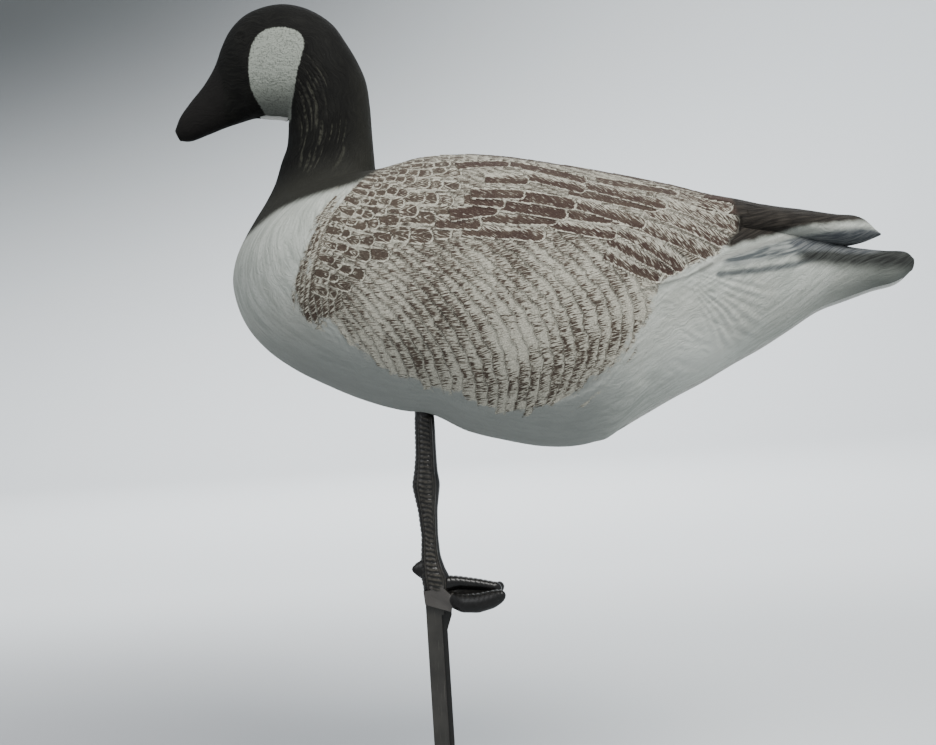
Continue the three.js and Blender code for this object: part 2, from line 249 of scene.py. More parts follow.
# The ridge of the back, and each point's distance down the side from it.
ridge_x = np.array([-60, -31, -10, 9, 30, 63, 93, 123, 150, 182, 212, 242, 273, 306, 334, 357, 379, 440])
ridge_z = np.array([415, 415, 420, 425, 426.5, 425.5, 421.5, 415.5, 409.5, 402, 394.5, 386.5, 377, 368, 359,
                    350, 345, 330])
BULGE = 1.05  # the curved skin is this much longer than the straight line
down = BULGE * np.hypot(Y, np.maximum(np.interp(X, ridge_x, ridge_z) - Z, 0))


def tree_of(rows):
    tree = kdtree.KDTree(len(rows))
    for i, row in enumerate(rows):
        tree.insert(row, i)
    tree.balance()
    return tree


in_space = tree_of(points)
in_side_view = tree_of(np.stack([X, np.zeros(COUNT), Z], -1))
on_chart = tree_of(np.stack([X, down, np.zeros(COUNT)], -1))


def smoothstep(lo, hi, x):
    t = np.clip((x - lo) / (hi - lo), 0, 1)
    return t * t * (3 - 2 * t)


def line_distance(line):
    """Side-view distance from every surface point to a line of [x, z] points."""
    best = np.full(COUNT, 1e9)
    for (ax, az), (bx, bz) in zip(line[:-1], line[1:]):
        dx, dz = bx - ax, bz - az
        t = np.clip(((X - ax) * dx + (Z - az) * dz) / (dx * dx + dz * dz), 0, 1)
        best = np.minimum(best, np.hypot(X - ax - t * dx, Z - az - t * dz))
    return best


def depth_inside(outline):
    """Side-view distance to an outline with its corners rounded: positive inside it, negative outside."""
    inside = np.zeros(COUNT, bool)
    corners = np.array(outline, float)
    for _ in range(2):
        following = np.roll(corners, -1, axis=0)
        leaving = 0.75 * corners + 0.25 * following
        arriving = 0.25 * corners + 0.75 * following
        corners = np.stack([leaving, arriving], 1).reshape(-1, 2)
    closed = [*corners, corners[0]]
    for (ax, az), (bx, bz) in zip(closed[:-1], closed[1:]):
        if az == bz:
            continue
        crosses = (az > Z) != (bz > Z)
        inside ^= crosses & (X < (bx - ax) * (Z - az) / (bz - az) + ax)
    return np.where(inside, 1, -1) * line_distance(closed)


# ---- feathers ----

feather_edge = np.full(COUNT, 9.0)  # distance from the feather's rim, as a share of its pale rim's width
streak_across = across + 0.3 * along  # pattern coordinates across and along the barbs
streak_along = along - 0.3 * across
brush = np.full(COUNT, 0.45)  # how much pale paint the barbs caught
tone = np.full(COUNT, 0.3)  # 0 for a greyish brown, 1 for a reddish one
relief = np.zeros(COUNT)  # raised above the plain surface, mm
ragged = np.zeros(COUNT)  # how far a row reaches past the brown area's plain outline, mm


def lumps(u, v, seed):
    """Smooth random values from 0 to 1, a new one for every unit of u and v."""
    size = 64  # the values repeat after this many units
    grid = np.random.default_rng(seed).uniform(0, 1, (size, size))
    i = np.floor(u).astype(int)
    j = np.floor(v).astype(int)
    a = smoothstep(0, 1, u - i)
    b = smoothstep(0, 1, v - j)
    i0, i1, j0, j1 = i % size, (i + 1) % size, j % size, (j + 1) % size
    low = grid[i0, j0] * (1 - a) + grid[i1, j0] * a
    high = grid[i0, j1] * (1 - a) + grid[i1, j1] * a
    return low * (1 - b) + high * b


def rows_of_barbs(on, position, sideways, widths, pale, lift, rim):
    """Long rows of short barbs over the points `on`, each row ending in a pale rim.

    position is the distance across the rows and sideways the distance along them. widths lists the rows'
    width as [position, width] pairs, pale is the paint the barbs caught, lift how far each row's rim stands
    up and rim the pale rim's width.
    """
    at, width = np.array(widths, float).T
    edges = [position.min() - 9]
    while edges[-1] < position.max() + 9:
        edges.append(edges[-1] + np.interp(edges[-1], at, width))
    edges = np.array(edges)
    size = np.interp(position, at, width) / 10
    slow = lumps(sideways / 12, position / 17, 3) - 0.5
    quick = lumps(sideways / 5, position / 9, 4) - 0.5
    place = position + (3.4 * slow + 2.6 * quick) * size
    row = np.clip(np.searchsorted(edges, place), 1, len(edges) - 1)
    ahead = edges[row] - place
    reach = 1 - ahead / (edges[row] - edges[row - 1])
    cell = lumps(sideways / 12 + 7.31 * row, row + 0.5, 5)
    feather_edge[on] = ahead / rim
    streak_across[on] = sideways + 0.3 * place + 31 * row
    streak_along[on] = place - 0.3 * sideways
    tone[on] = 0.55 * cell
    brush[on] = pale * (0.62 + 0.45 * smoothstep(0.1, 0.95, reach)) * (0.66 + 0.68 * cell)
    relief[on] = lift * (0.1 + 0.9 * reach) * smoothstep(0, 0.9, ahead)
    ragged[on] = 26 * (lumps(row + 0.5, sideways / 20, 6) - 0.5)


def heading(root, angle, length):
    """A vector along the surface at `root`; angle is downwards from the tailward direction, in degrees."""
    n = normals[root]
    tail = np.array([1.0, 0, 0]) - n[0] * n
    tail /= np.linalg.norm(tail)
    a = math.radians(angle)
    return length * (math.cos(a) * tail + math.sin(a) * downwards(n, tail))


def downwards(n, ahead):
    below = np.cross(n, ahead)
    flips = below[2] > 0 if abs(below[2]) > 0.05 else below[1] * n[2] > 0
    return -below if flips else below


def feather(root, reach, width, corner, rim, lift, brushed, barb, shade, long=True):
    """One moulded feather from the surface point `root`, lying over those placed before it.

    reach is the vector to its tip, corner rounds the tip, rim is the pale rim's width, lift is how far the
    tip stands up, brushed is the pale paint on its upper and lower half, barb is the barbs' angle off the
    shaft in degrees and shade its brown. The barbs of a long feather all slant down, those of a short one
    part at the shaft.
    """
    n = normals[root]
    flat = reach - (reach @ n) * n
    length = np.linalg.norm(flat)
    shaft = flat / length
    side = downwards(n, shaft)
    middle = points[root] + flat / 2
    near = np.array([i for _, i, _ in in_space.find_range(middle, math.hypot(length, width) / 2 + 3)])
    if len(near) == 0:
        return
    offset = points[near] - points[root]
    bend = rng.normal(0, 0.0008)
    u = offset @ shaft
    v = offset @ side + bend * u * u
    out_v = np.abs(v) - (width / 2 - corner)
    out_u = u - (length - corner)
    inner = np.minimum(np.maximum(out_v, out_u), 0)
    depth = corner - inner - np.hypot(np.maximum(out_v, 0), np.maximum(out_u, 0))
    keep = (depth > 0) & (u > 0) & (normals[near] @ n > 0.25)
    on = near[keep]
    u, v, depth = u[keep], v[keep], depth[keep]
    vane = v if long else np.abs(v)
    b = math.radians(barb)
    feather_edge[on] = depth / rim
    tone[on] = shade
    ragged[on] = 0
    streak_across[on] = vane * math.cos(b) - u * math.sin(b) + rng.uniform(0, 400)
    streak_along[on] = u * math.cos(b) + vane * math.sin(b)
    share = smoothstep(-width * 0.1, width * 0.22, -v)
    brush[on] = (brushed[1] + (brushed[0] - brushed[1]) * share) * (1.1 - 0.35 * u / length)
    relief[on] = lift * (0.1 + 0.9 * u / length) * (0.35 + 0.65 * smoothstep(0, 1.2, depth))


def at_side_view(x, z):
    """The surface point seen at x, z from the goose's left."""
    return max((i for _, i, _ in in_side_view.find_n((x, 0, z), 6)), key=lambda i: Y[i])


def at_chart(x, distance):
    return on_chart.find((x, distance, 0))[1]


def wander(amount):
    return rng.uniform(-amount, amount)


def primaries():
    for row, distance in enumerate([60, 49, 38, 27, 16, 6]):
        for x in (340, 300, 262):
            root = at_chart(x + 4 * row, distance)
            feather(root, heading(root, 3 + wander(1), 100), 12, 5, 0.05, 0.9, (0.1, 0.05), 25, 0.8)


def flank():
    """Rows that bulge tailwards: each is a parabola about its own height, wider apart towards the tail."""
    centres = [[-80, 175], [0, 187], [60, 202], [120, 228], [201, 265]]
    curves = [[-80, 0.0034], [60, 0.0046], [201, 0.00885]]
    on = np.nonzero((brown_depth > -18) & (X < 215) & (Y > 20))[0]
    x, z = X[on], Z[on]
    low = x - 5.0
    high = x + 170.0
    for _ in range(26):
        bulge = (low + high) / 2
        centre = np.interp(bulge, *np.array(centres).T)
        curve = np.interp(bulge, *np.array(curves).T)
        too_far = bulge - curve * (z - centre) ** 2 > x
        high = np.where(too_far, bulge, high)
        low = np.where(too_far, low, bulge)
    rise = z - centre
    steep = 2 * curve * rise
    along_row = rise / 2 * np.sqrt(1 + steep**2) + np.arcsinh(steep) / (4 * curve)
    pale_spot = np.exp(-((x - 88) ** 2 + (z - 250) ** 2) / 1100)
    pale = 0.68 + 0.3 * pale_spot + 0.3 * (lumps(x / 30, z / 30, 8) - 0.5)
    pale += 0.22 * smoothstep(22, 2, brown_depth[on])
    rows_of_barbs(on, bulge, along_row, [[-100, 4.2], [-45, 6.5], [30, 9.6], [200, 10.8]], pale, 0.95, 1.0)


def front_rows():
    """Fine rows side by side with the front of the brown area, and the scales behind them."""
    border_at = [0, 40, 70, 100, 122, 145, 160, 250]
    border_x = [-31, -38, -48, -70, -88, -100, -104, -104]
    scales_end = 62  # the scales give way to the large feathers here
    border = np.interp(down, border_at, border_x)
    into = 150 * (X - border) / (scales_end - border)
    on = np.nonzero((into > -16) & (into < 38) & (Z > 258 + 0.7 * into))[0]
    pale = 0.56 + 0.25 * (lumps(X[on] / 22, Z[on] / 22, 9) - 0.5)
    rows_of_barbs(on, into[on], down[on], [[0, 4.0], [30, 6.0]], pale, 0.6, 0.95)

    rows = []
    deep = 20.0
    while deep < 122:
        rows.append(deep)
        deep += 7.0 + 10.5 * smoothstep(10, 85, deep)
    for deep in reversed(rows):
        size = smoothstep(10, 85, deep)
        pitch = 7.0 + 10.5 * size
        width = 8.5 + 6.5 * size
        distance = wander(4) + 3
        end = 158 - 26 * smoothstep(20, 80, deep)
        while distance < end:
            start = np.interp(distance, border_at, border_x)
            x = scales_end + (start - scales_end) * (1 - deep / 150)
            turn = 24 * (1 - size) - 8 * size * smoothstep(120, 40, distance)
            root = at_chart(x - pitch * 0.9, distance)
            reach = heading(root, turn + wander(8), pitch * rng.uniform(1.95, 2.2))
            paint = (rng.uniform(0.24, 0.52), rng.uniform(0.18, 0.44))
            broad = width * rng.uniform(0.9, 1.15)
            rim = 1.1 + 0.7 * size
            lift = 0.6 + 0.6 * size
            feather(root, reach, broad, width * 0.44, rim, lift, paint, 20, rng.uniform(0, 0.4), False)
            distance += width * rng.uniform(0.88, 1.0)


# The larger feathers from the rearmost and lowest to the foremost:
# [root x, root z, tip x, tip z, width, paint on the upper barbs].
BACK_FEATHERS = [
    # wing coverts and tertials
    [172, 318, 219, 290, 13, 0.62], [176, 332, 232, 295, 14, 0.62], [186, 340, 246, 306, 15, 0.66],
    [196, 346, 271, 312, 15, 0.52], [210, 358, 286, 323, 14, 0.5], [224, 367, 298, 340, 14, 0.55],
    [238, 377, 294, 357, 13, 0.3],
    # the long row across the back
    [122, 350, 181, 330, 13, 0.6], [128, 361, 198, 339, 14, 0.5], [137, 370, 210, 345, 14, 0.46],
    [146, 379, 224, 356, 14, 0.4], [152, 386, 233, 361, 14, 0.42], [172, 389, 247, 373, 13, 0.2],
    # the row in front of it
    [47, 346, 119, 338, 14, 0.52], [62, 359, 132, 348, 14, 0.5], [72, 369, 141, 358, 14, 0.14],
    [82, 378, 150, 367, 14, 0.16], [101, 397, 161, 380, 15, 0.5], [84, 412, 163, 392, 14, 0.1],
    # and the shorter ones before those
    [24, 354, 64, 351, 13, 0.42], [36, 360, 80, 364, 13, 0.08], [50, 374, 86, 370, 12, 0.2],
    [56, 380, 103, 377, 12, 0.25], [70, 394, 110, 392, 15, 0.56], [46, 408, 94, 410, 14, 0.06],
]


def large_feathers():
    for distance in (21, 8):
        for x in (226, 176, 122, 66, 14):
            root = at_chart(x + 2 * distance, distance)
            feather(root, heading(root, 2 + wander(1), 66), 14, 6, 1.0, 1.3, (0.16, 0.05), 30, 0.7)
    for x0, z0, x1, z1, width, barbs in BACK_FEATHERS:
        root = at_side_view(x0, z0)
        reach = points[at_side_view(x1, z1)] - points[root]
        shade = rng.uniform(0.6, 1.0)
        brushed = (barbs * 1.15, 0.15 + 0.3 * smoothstep(150, 230, x0))
        feather(root, reach * 1.02, width + 2, width * 0.5, 1.7, 1.6, brushed, 26 + wander(4), shade)


brown_depth = depth_inside(BROWN)
primaries()
flank()
front_rows()
large_feathers()

# ---- painted areas and relief ----

black_depth = depth_inside(BLACK)
primary_depth = depth_inside(PRIMARIES)
tail_depth = depth_inside(TAIL_BAND)
covert_depth = depth_inside(COVERT_GREY)
cheek_depth = depth_inside(CHEEK)
bill_depth = depth_inside(BILL)
crease_distance = line_distance(WING_CREASE)
thigh_distance = line_distance(THIGH_CREASE)

brown = brown_depth + ragged
relief *= smoothstep(-14, 4, brown_depth)
feather_edge = np.where(brown_depth < -16, 9.0, feather_edge)

flank_raise = smoothstep(0, 3.5, brown_depth) * smoothstep(60, 130, X) * smoothstep(330, 300, Z)
relief += 1.2 * flank_raise
relief -= 0.9 * np.exp(-((crease_distance / 1.3) ** 2))
relief -= 2.2 * np.exp(-((thigh_distance / 7) ** 2))

fan_angle = np.degrees(np.arctan2(FAN_Z - Z, X - FAN_X))
fan_reach = np.hypot(X - FAN_X, Z - FAN_Z)
fan_window = smoothstep(10, 25, fan_reach) * smoothstep(105, 60, fan_reach)
fan_window *= smoothstep(8, 16, fan_angle) * smoothstep(72, 55, fan_angle)
fan_wave = fan_angle * 0.85 + 3.2 * lumps(fan_reach / 26, fan_angle / 22, 16)
fan_wave = np.sin(fan_wave) * (0.35 + 1.1 * lumps(fan_reach / 18, fan_angle / 9, 17))
relief += 0.6 * fan_window * fan_wave

wrinkle_window = smoothstep(150, 175, X) * smoothstep(275, 235, X)
wrinkle_window *= smoothstep(180, 192, Z) * smoothstep(226, 212, Z)
wrinkle_phase = (Z - 0.28 * X) / 3.2 + 1.5 * np.sin(X / 21) + 0.8 * np.sin(X / 7.3 + Z / 9)
relief += 0.22 * wrinkle_window * np.sin(wrinkle_phase)

eye = np.hypot(X - EYE_X, Z - EYE_Z) - EYE_R
relief += 0.9 * smoothstep(0.7, -0.7, eye) - 0.35 * np.exp(-(((eye - 1.5) / 0.9) ** 2))

neck_window = smoothstep(-104, -94, X) * smoothstep(-48, -60, X) * smoothstep(400, 425, Z)
neck_window *= smoothstep(536, 508, Z + 1.2 * np.maximum(X + 85, 0))
neck_window *= smoothstep(2, -5, cheek_depth)
bend = across / 1.9 + 1.5 * lumps(along / 16, across / 13, 11)
furrow = lumps(bend, along / 26 + 0.5 * lumps(across / 6, along / 9, 12), 13)
furrow = smoothstep(0.42, 0.85, furrow)
relief += 0.55 * neck_window * furrow

rump_window = smoothstep(200, 225, X) * smoothstep(345, 300, X) * smoothstep(3, 9, -brown_depth) * (Z < 300)
crinkle = lumps((Z + 0.4 * X) / 3.4 + 2.2 * lumps(X / 15, Z / 15, 22), (X - 0.4 * Z) / 13, 23)
relief += 0.5 * rump_window * smoothstep(0.4, 0.8, crinkle)

coat = lumps(across / 2.1 + 1.3 * lumps(along / 25, across / 25, 14), along / 11, 15)
relief += 0.22 * (coat - 0.5) * smoothstep(3, -6, brown_depth) * smoothstep(4, -4, black_depth)

near_edge = smoothstep(0.4, 3.0, Y)
relief *= near_edge

# Values that the paint reads, one for each surface point.
fields = {
    "feather_edge": feather_edge,
    "streak_across": streak_across,
    "streak_along": streak_along,
    "brush": brush,
    "tone": tone,
    "furrow": neck_window * furrow,
    # painted light: a pale pool at the vent
    "painted_vent_light": np.exp(-(((X - 255) / 48) ** 2) - ((Z - 224) / 30) ** 2),
    "coat": coat,
    "tail": smoothstep(352, 440, X) * smoothstep(330, 322, Z),
    "wing_underside": depth_inside(WING_UNDERSIDE),
    # painted shade under the breast and belly
    "underside": smoothstep(310, 228, Z) * smoothstep(205, 140, X),
    "along": along,
    "across": across,
    "brown": brown,
    "black": black_depth,
    "cheek": cheek_depth,
    "bill": bill_depth,
    "primaries": primary_depth,
    "tail_band": tail_depth,
    "covert_grey": covert_depth,
    "pale_stripe": line_distance(PALE_STRIPE) + 2.2 * smoothstep(360, 410, X),
    "slate": line_distance(SLATE_LINE),
    "groove": np.minimum(crease_distance, 9),
}


# ---- meshes ----


def add_mesh(name, vertices, faces):
    mesh = bpy.data.meshes.new(name)
    mesh.from_pydata([tuple(v * MM) for v in vertices], [], faces)
    mesh.update()
    obj = bpy.data.objects.new(name, mesh)
    bpy.context.scene.collection.objects.link(obj)
    return obj


def smooth(obj, sharp_degrees):
    """Smooth shading, except over edges sharper than the given angle."""
    for polygon in obj.data.polygons:
        polygon.use_smooth = True
    obj.data.set_sharp_from_angle(angle=math.radians(sharp_degrees))


def store(obj, name, values):
    """Gives each vertex a value that a material can read."""
    attribute = obj.data.attributes.new(name, "FLOAT", "POINT")
    attribute.data.foreach_set("value", values.astype(np.float32))


def fix_direction(obj):
    """Turns every face over if the closed mesh is inside out."""
    mesh = obj.data
    mesh.calc_loop_triangles()
    co = np.zeros(len(mesh.vertices) * 3)
    mesh.vertices.foreach_get("co", co)
    co = co.reshape(-1, 3)
    tri = np.zeros(len(mesh.loop_triangles) * 3, np.int32)
    mesh.loop_triangles.foreach_get("vertices", tri)
    a, b, c = (co[i] for i in tri.reshape(-1, 3).T)
    if np.einsum("ij,ij->", a, np.cross(b, c)) < 0:
        mesh.flip_normals()
    return obj


def closed_loft(name, grid):
    """A solid whose rings are the grid's rows, each closed on itself, with flat ends."""
    rows, count = grid.shape[0], grid.shape[1]
    faces = []
    for i in range(rows - 1):
        for j in range(count):
            a = i * count + j
            b = i * count + (j + 1) % count
            faces.append((a, b, b + count, a + count))
    faces.append(tuple(range(count - 1, -1, -1)))
    faces.append(tuple((rows - 1) * count + j for j in range(count)))
    return fix_direction(add_mesh(name, grid.reshape(-1, 3), faces))


def cylinder(name, radius, low, high, steps=64):
    angle = np.linspace(0, 2 * np.pi, steps, endpoint=False)
    ring = np.stack([radius * np.cos(angle), radius * np.sin(angle)], -1)
    grid = np.stack([np.column_stack([ring, np.full(steps, z)]) for z in (low, high)])
    return closed_loft(name, grid)


def block(name, low, high):
    ring = [(low[0], low[1]), (high[0], low[1]), (high[0], high[1]), (low[0], high[1])]
    grid = np.array([[(x, y, z) for x, y in ring] for z in (low[2], high[2])], float)
    return closed_loft(name, grid)


def combine(obj, others, operation):
    """obj with each of the others joined to it or cut from it; the others are used up."""
    for other in others:
        cut = obj.modifiers.new("combine", "BOOLEAN")
        cut.solver = "MANIFOLD"
        cut.operation = operation
        cut.object = other
    mesh = bpy.data.meshes.new_from_object(obj.evaluated_get(bpy.context.evaluated_depsgraph_get()))
    obj.modifiers.clear()
    old = obj.data
    obj.data = mesh
    mesh.name = obj.name
    bpy.data.meshes.remove(old)
    for other in others:
        bpy.data.objects.remove(other)
    return obj


def vertices_of(obj):
    co = np.zeros(len(obj.data.vertices) * 3, np.float32)
    obj.data.vertices.foreach_get("co", co)
    return co.reshape(-1, 3).astype(float) / MM


def half_shell(name, side):
    ribs = BODY_RIBS if side < 0 else with_lip(with_lip(BODY_RIBS, CHIN_RIBS), VENT_RIBS)
    outer = half_surface(ribs, side, SEAM, BODY_AT, BODY_ARC)
    wing = half_surface(WING_RIBS, side, SEAM, WING_AT, WING_ARC)
    # the hollow reaches a little past the middle plane, so that it opens the half
    inner_ribs = inset_ribs(BODY_RIBS, WALL)
    inner_ribs[:, 4] += 1
    inner = half_surface(inner_ribs, side, -1, stations(inner_ribs, [(0, 6)]), 48)
    shell = closed_loft(name, outer)
    combine(shell, [closed_loft("wing", wing)], "UNION")
    combine(shell, [closed_loft("hollow", inner), cylinder("hole", BELLY_HOLE_R, 150, 222)], "DIFFERENCE")

    own_points = np.concatenate([outer.reshape(-1, 3), wing.reshape(-1, 3)])
    own_normals = np.concatenate([
        surface_normals(outer, side * -1).reshape(-1, 3), surface_normals(wing, side * -1).reshape(-1, 3),
    ])
    own_tree = tree_of(own_points)
    co = vertices_of(shell)
    found = [own_tree.find(p) for p in co]
    index = np.array([f[1] for f in found])
    gap = np.array([f[2] for f in found])
    skin = gap < 1.6  # on the moulded surface, not in the hollow or on the cut edge
    in_hole = (np.hypot(co[:, 0], co[:, 1]) < BELLY_HOLE_R + 1) & (co[:, 2] < 215)
    move = np.where(skin & ~in_hole, relief[index], 0)
    moved = co + own_normals[index] * move[:, None]
    shell.data.vertices.foreach_set("co", (moved * MM).astype(np.float32).reshape(-1))
    for field, values in fields.items():
        store(shell, field, values[index])
    bare = np.where(skin, 0, 1)
    if side > 0:  # the trimmed edge that stands proud of the plain surface
        past = np.array([in_space.find((x, -y, z))[2] for x, y, z in co])
        bare = np.maximum(bare, np.clip(past - 1.2, 0, 1) * (np.abs(co[:, 1]) < 7))
    store(shell, "bare", bare)
    smooth(shell, 58)
    shell.data.update()
    return shell


left_shell = half_shell("left_goose_half", -1)
right_shell = half_shell("right_goose_half", 1)


# ---- the leg ----

LEG_TOP = 222
SHANK_RINGS = np.array([  # z, centre x, half width along x, along y
    [12, 2, 11.5, 9.2], [29, 1.4, 13.4, 10.5], [37, -0.6, 11.4, 9.5], [50, -1.9, 9, 8],
    [69, -1.7, 7.8, 7.2], [93, -2.1, 9.2, 8], [105, -2.2, 11.2, 8.8], [117, -2.2, 13.2, 10],
    [130, -1.6, 11, 9], [145, -0.6, 9.8, 8.6], [176, 0.2, 9.4, 9], [186, 0, 9, 9], [LEG_TOP, 0, 9, 9],
])
# Toes and spur: [x, y, z, half width, half height].
MIDDLE_TOE = [
    [2, 0, 22, 8, 9], [22, 0, 23, 6, 6], [42, 0, 19.5, 5.5, 5.5], [54, 0, 16.5, 5.5, 5.5],
    [63, 0, 15, 4, 4.5],
]
SIDE_TOE = [
    [6, 1, 10, 6, 6.5], [14, 3.5, 8, 6.5, 7.6], [24, 12.5, 5.2, 7.5, 8.6], [40, 18, 5.4, 7.5, 9],
    [55, 22, 9, 6.5, 8.2], [66, 25, 12.8, 4, 4.6],
]
SPUR = [[-2, 0, 37, 7, 13], [-10, 0, 37, 5.5, 10], [-16, 0, 37.5, 4, 6], [-21, 0, 38, 2, 2.6]]
SOCKET_SIDE = [[-10, 5.5], [14.5, -3], [16.5, 11], [8, 20], [-11, 18]]
SOCKET_HALF_WIDTH = 9.5
SCUTE_PITCH = 4.6


def scutes(distance, wavering):
    """Rounded ridges side by side with narrow grooves between them."""
    return np.abs(np.sin(np.pi * (distance / SCUTE_PITCH + wavering))) ** 0.6


def blurred(at, rows, columns, spread):
    """The columns' values at `at` along the first column, averaged over the distances in spread."""
    return [
        np.mean([np.interp(at + d, rows[:, 0], rows[:, column]) for d in spread], axis=0)
        for column in columns
    ]


def shank_grid():
    """The scaly shank, ring by ring: raised mould lines with a ladder of scutes between them."""
    z = np.arange(12, LEG_TOP + 0.1, 0.75)[:, None]
    centre, half_x, half_y = blurred(z, SHANK_RINGS, (1, 2, 3), [-3, -1.5, 0, 1.5, 3])
    angle = np.linspace(0, 2 * np.pi, 112, endpoint=False)[None]
    place = np.cos(angle)
    moulded = smoothstep(184, 178, z) * smoothstep(11, 22, z)
    seams = sum(np.exp(-(((place - at) / 0.055) ** 2)) for at in (-0.62, 0.5, 0.66))
    ladder = smoothstep(-0.58, -0.48, place) * smoothstep(0.46, 0.36, place)
    crest = scutes(z, 0.5 * place + 0.5 * lumps(z / 13 + 0 * place, 2 * place + 3, 21))
    edge = smoothstep(-0.66, -0.8, place) * scutes(z, 0.3)
    bumps = moulded * (0.65 * seams + 0.75 * ladder * crest + 0.7 * edge)
    x = centre + (half_x + bumps) * np.cos(angle)
    y = (half_y + bumps) * np.sin(angle)
    # painted highlight along the scute crests, the mould lines and the edge
    light = moulded * np.maximum(ladder * crest**6, np.maximum(0.7 * seams**2, 0.5 * edge**6))
    return np.stack([x, y, z + 0 * angle], -1), light


def toe_grid(stations, side):
    """A blunt toe of round sections, with scutes across its top."""
    rows = np.array(stations, float)
    reach = rows[:, 0]
    start, end = reach[0], reach[-1]
    sign = np.sign(end - start)
    x = np.linspace(start, end, int(abs(end - start) / 0.8))[:, None]
    y, z, half_y, half_z = blurred(x, rows[np.argsort(reach)], (1, 2, 3, 4), [-2, 0, 2])
    left = np.clip((end - x) * sign / np.minimum(half_z, 5), 0, 1)
    blunt = np.sqrt(1 - (1 - left) ** 2) * 0.97 + 0.03
    angle = np.linspace(0, 2 * np.pi, 44, endpoint=False)[None]
    top = smoothstep(0.1, 0.7, np.sin(angle))
    crest = top * scutes(x, 0.12 * np.cos(angle)) * smoothstep(0.2, 0.9, left)
    grid_y = side * y + (half_y * blunt + 0.3 * crest) * np.cos(angle)
    grid_z = z + (half_z * blunt + 0.55 * crest) * np.sin(angle)
    # the second value is a painted highlight on the scute crests
    return np.stack([x + 0 * angle, grid_y, grid_z], -1), 0.12 * crest**6


def web_grid(side):
    """Skin between the middle toe and a side toe, sagging a little between them."""
    x = np.linspace(6, 60, 28)[:, None]
    inner_z = np.interp(x, [6, 60], [22, 15.5])
    outer_y = np.interp(x, [6, 60], [7, 23])
    outer_z = np.interp(x, [6, 60], [12, 9.5])
    across_web = np.linspace(0, 1, 12)[None]
    sag = 1.6 * np.sin(np.pi * across_web)
    upper = np.stack([
        x + 0 * across_web, side * outer_y * across_web, inner_z + (outer_z - inner_z) * across_web - sag,
    ], -1)
    lower = upper[:, ::-1] - np.array([0, 0, 3.2])
    return np.concatenate([upper, lower], axis=1)


def extruded(name, outline, half_width):
    ring = np.array(outline, float)
    grid = np.array([[(x, y, z) for x, z in ring] for y in (-half_width, half_width)])
    return closed_loft(name, grid)


def moulded_leg():
    toes = [toe_grid(MIDDLE_TOE, 1), toe_grid(SIDE_TOE, 1), toe_grid(SIDE_TOE, -1), toe_grid(SPUR, 1)]
    grids = [shank_grid(), *toes]
    leg = closed_loft("moulded_leg", grids[0][0])
    parts = [closed_loft("toe", grid) for grid, _ in toes]
    parts += [closed_loft("web", web_grid(side)) for side in (1, -1)]
    parts.append(extruded("socket", SOCKET_SIDE, SOCKET_HALF_WIDTH))
    combine(leg, parts, "UNION")
    pin = cylinder("pin_hole", 2.3, -19, 7.3, 24)
    pin.data.transform(Matrix.Rotation(math.pi / 2, 4, "X"))
    pin.data.transform(Matrix.Translation((0.5 * MM, 0, 8 * MM)))
    combine(leg, [
        block("tenon_hole", (-5.3, -5.3, 179), (5.3, 5.3, 223)),
        block("spike_hole", (-6.3, -4.8, -20), (7.3, 3.8, 14.3)),
        pin,
    ], "DIFFERENCE")
    tree = tree_of(np.concatenate([grid.reshape(-1, 3) for grid, _ in grids]))
    light = np.concatenate([shine.reshape(-1) for _, shine in grids])
    found = [tree.find(p) for p in vertices_of(leg)]
    # the painted highlight's share, for the leg's material
    crest = np.array([light[i] if gap < 0.4 else 0 for _, i, gap in found])
    store(leg, "crest", crest)
    smooth(leg, 50)
    return leg


leg = moulded_leg()


# ---- materials ----


